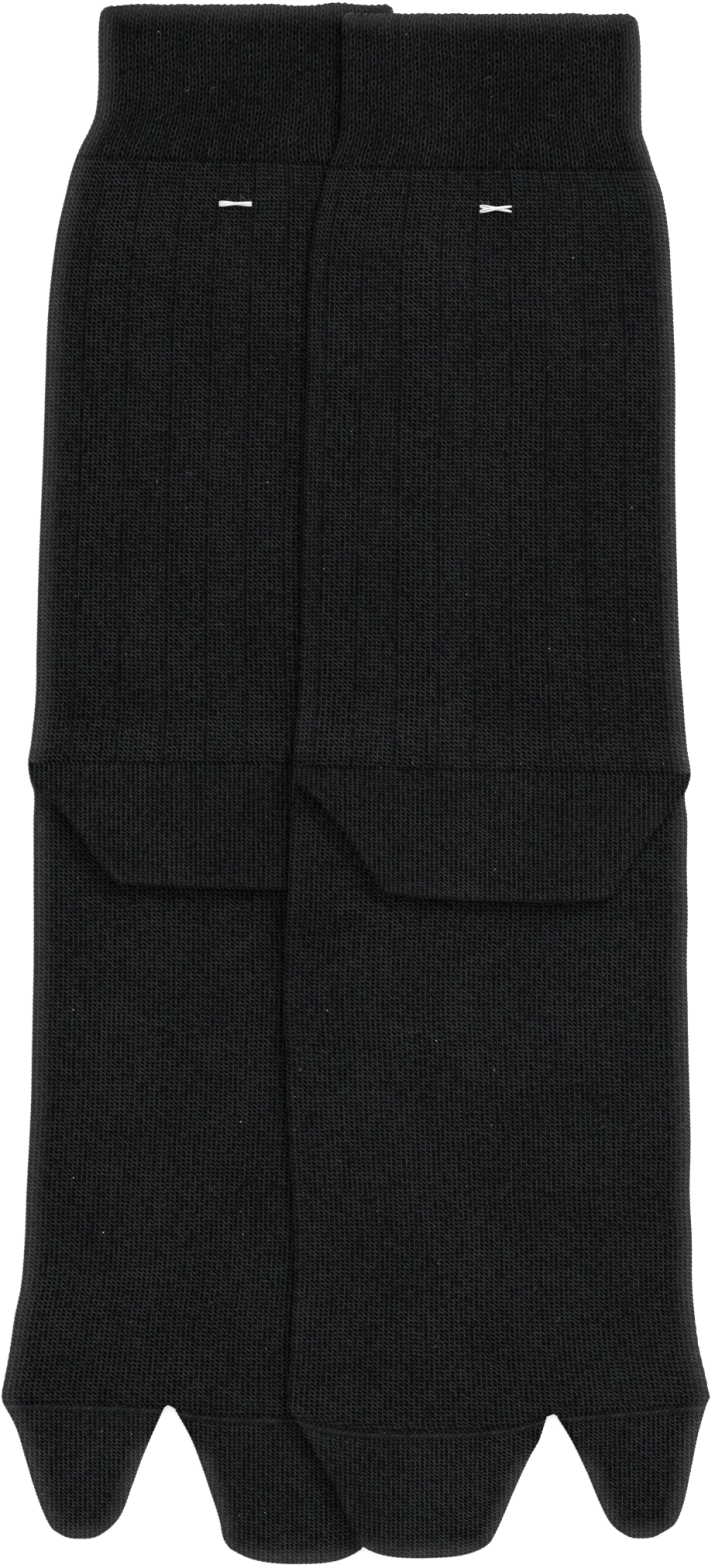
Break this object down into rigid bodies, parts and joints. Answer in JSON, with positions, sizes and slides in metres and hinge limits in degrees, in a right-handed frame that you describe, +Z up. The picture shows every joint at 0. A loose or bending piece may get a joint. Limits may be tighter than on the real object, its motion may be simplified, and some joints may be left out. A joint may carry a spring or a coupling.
{
  "type": "pair of tabi socks",
  "caption": "Pair of black knitted split-toe socks laid flat, soles up, one partly over the other, heel pockets folded down.",
  "frame": {"origin": "middle of the base of the box round the pair, on the surface it lies on", "axes": "+Y along the socks towards the cuffs, toes at -Y; +X across the pair towards the sock that lies on top; +Z up off the surface"},
  "size_m": [0.1696, 0.3718, 0.0107],
  "materials": {
    "cuff_knit": "open rib knit, matt black",
    "leg_knit": "plain knit with thin rib lines, matt black",
    "heel_knit": "close plain knit, matt black",
    "sole_knit": "plain knit, matt black",
    "toe_knit": "close plain knit, matt black"
  },
  "bodies": {
    "root": {"under_cuff": "cuff_knit", "under_leg": "leg_knit", "under_heel": "heel_knit", "under_foot": "sole_knit", "under_big_toe": "toe_knit", "under_toes": "toe_knit", "over_cuff": "cuff_knit", "over_leg": "leg_knit", "over_heel": "heel_knit", "over_foot": "sole_knit", "over_big_toe": "toe_knit", "over_toes": "toe_knit"}
  },
  "joints": []
}
